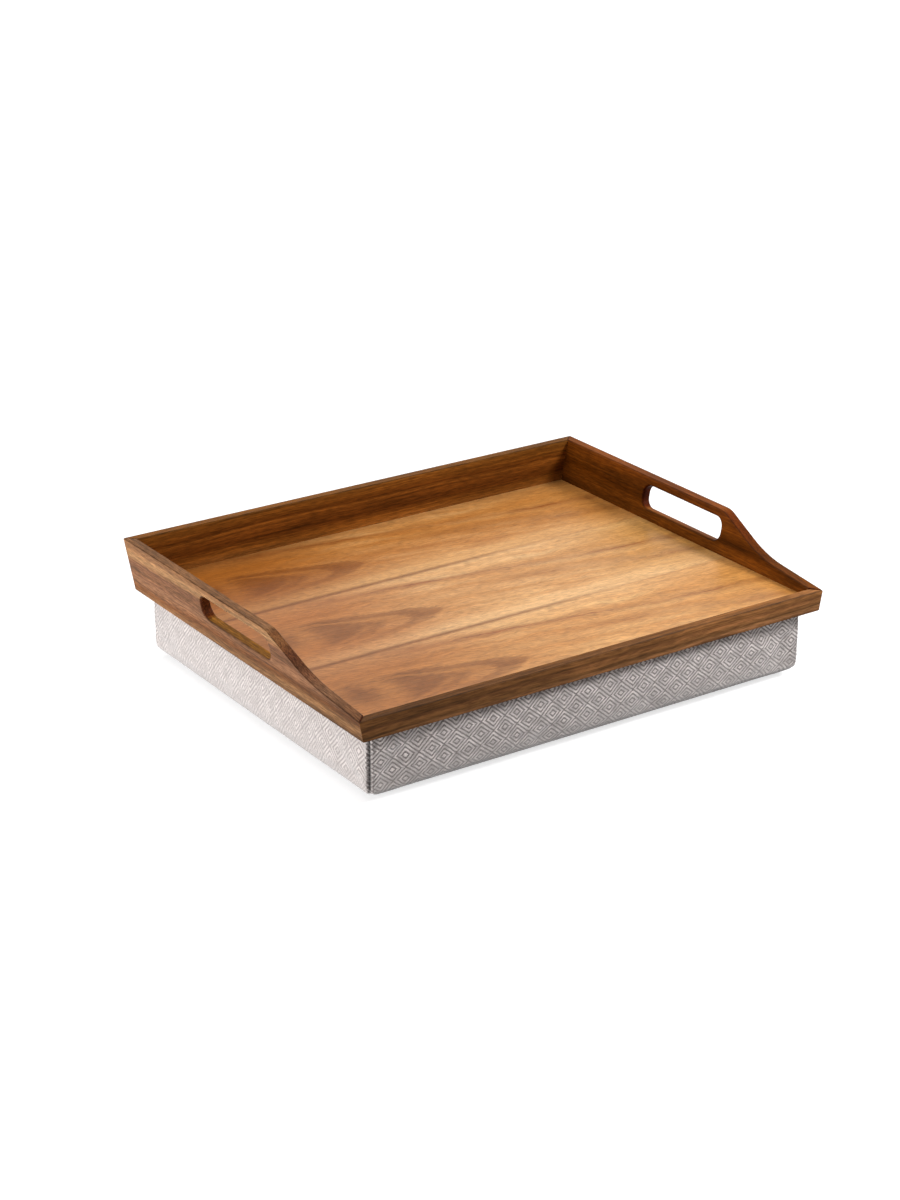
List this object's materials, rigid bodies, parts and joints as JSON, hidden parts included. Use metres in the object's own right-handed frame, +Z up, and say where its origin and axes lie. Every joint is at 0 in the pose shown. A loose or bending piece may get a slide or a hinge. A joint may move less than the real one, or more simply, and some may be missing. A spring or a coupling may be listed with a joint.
{
  "type": "lap tray",
  "caption": "Wooden lap tray with leaning mitred sides, hand holds and a low front rim, held by hook-and-loop on a boxed fabric cushion with a zipped cover.",
  "frame": {"origin": "centre of the flat on which the cushion rests, under the middle of the tray", "axes": "+X along the long side of the tray, to the right seen from its low front rim; +Y to the high back wall; +Z up"},
  "size_m": [0.4444, 0.343, 0.1041],
  "materials": {
    "wall_wood": "oiled solid acacia, sanded",
    "floor_veneer": "oiled acacia veneer, slip matched",
    "plywood": "raw poplar plywood",
    "under_veneer": "sanded veneer, one thin coat",
    "cover_fabric": "diamond twill, grey and off-white yarns",
    "cover_lining": "plain woven cotton",
    "foam": "cut polyurethane foam",
    "loop_tape": "brushed nylon loop",
    "hook_tape": "moulded nylon hooks",
    "zip_tape": "woven polyester tape",
    "zip_teeth": "moulded acetal",
    "zip_metal": "sprayed zinc die casting",
    "brads": "drawn steel wire"
  },
  "bodies": {
    "cushion": {"cover_shell": "cover_fabric", "cover_top": "cover_lining", "cushion_insert": "foam", "loop_strip_left": "loop_tape", "loop_strip_right": "loop_tape", "zip_tape_upper": "zip_tape", "zip_tape_lower": "zip_tape", "zip_teeth_upper": "zip_teeth", "zip_teeth_lower": "zip_teeth", "zip_top_stop": "zip_metal", "zip_bottom_stop": "zip_metal"},
    "tray": {"floor_core": "plywood", "back_wall": "wall_wood", "front_wall": "wall_wood", "left_wall": "wall_wood", "right_wall": "wall_wood", "veneer_leaf_back": "floor_veneer", "veneer_leaf_middle": "floor_veneer", "veneer_leaf_front": "floor_veneer", "underside_veneer": "under_veneer", "hook_strip_left": "hook_tape", "hook_strip_right": "hook_tape", "corner_brads": "brads"},
    "zip_slider": {"zip_slider": "zip_metal"},
    "zip_pull": {"zip_pull": "zip_metal"}
  },
  "joints": [
    {"name": "tray_lift", "type": "slide", "parent": "cushion", "child": "tray", "axis": [0, 0, 1], "range_m": [0, 0.12]},
    {"name": "zip_slide", "type": "slide", "parent": "cushion", "child": "zip_slider", "axis": [-1, 0, 0], "range_m": [0, 0.27408], "deforming": ["zip_teeth_upper", "zip_teeth_lower"]},
    {"name": "pull_flip", "type": "hinge", "parent": "zip_slider", "child": "zip_pull", "pos_m": [0.13704, 0.1639, 0.0443], "axis": [0, 0, -1], "range_deg": [0, 175]}
  ]
}
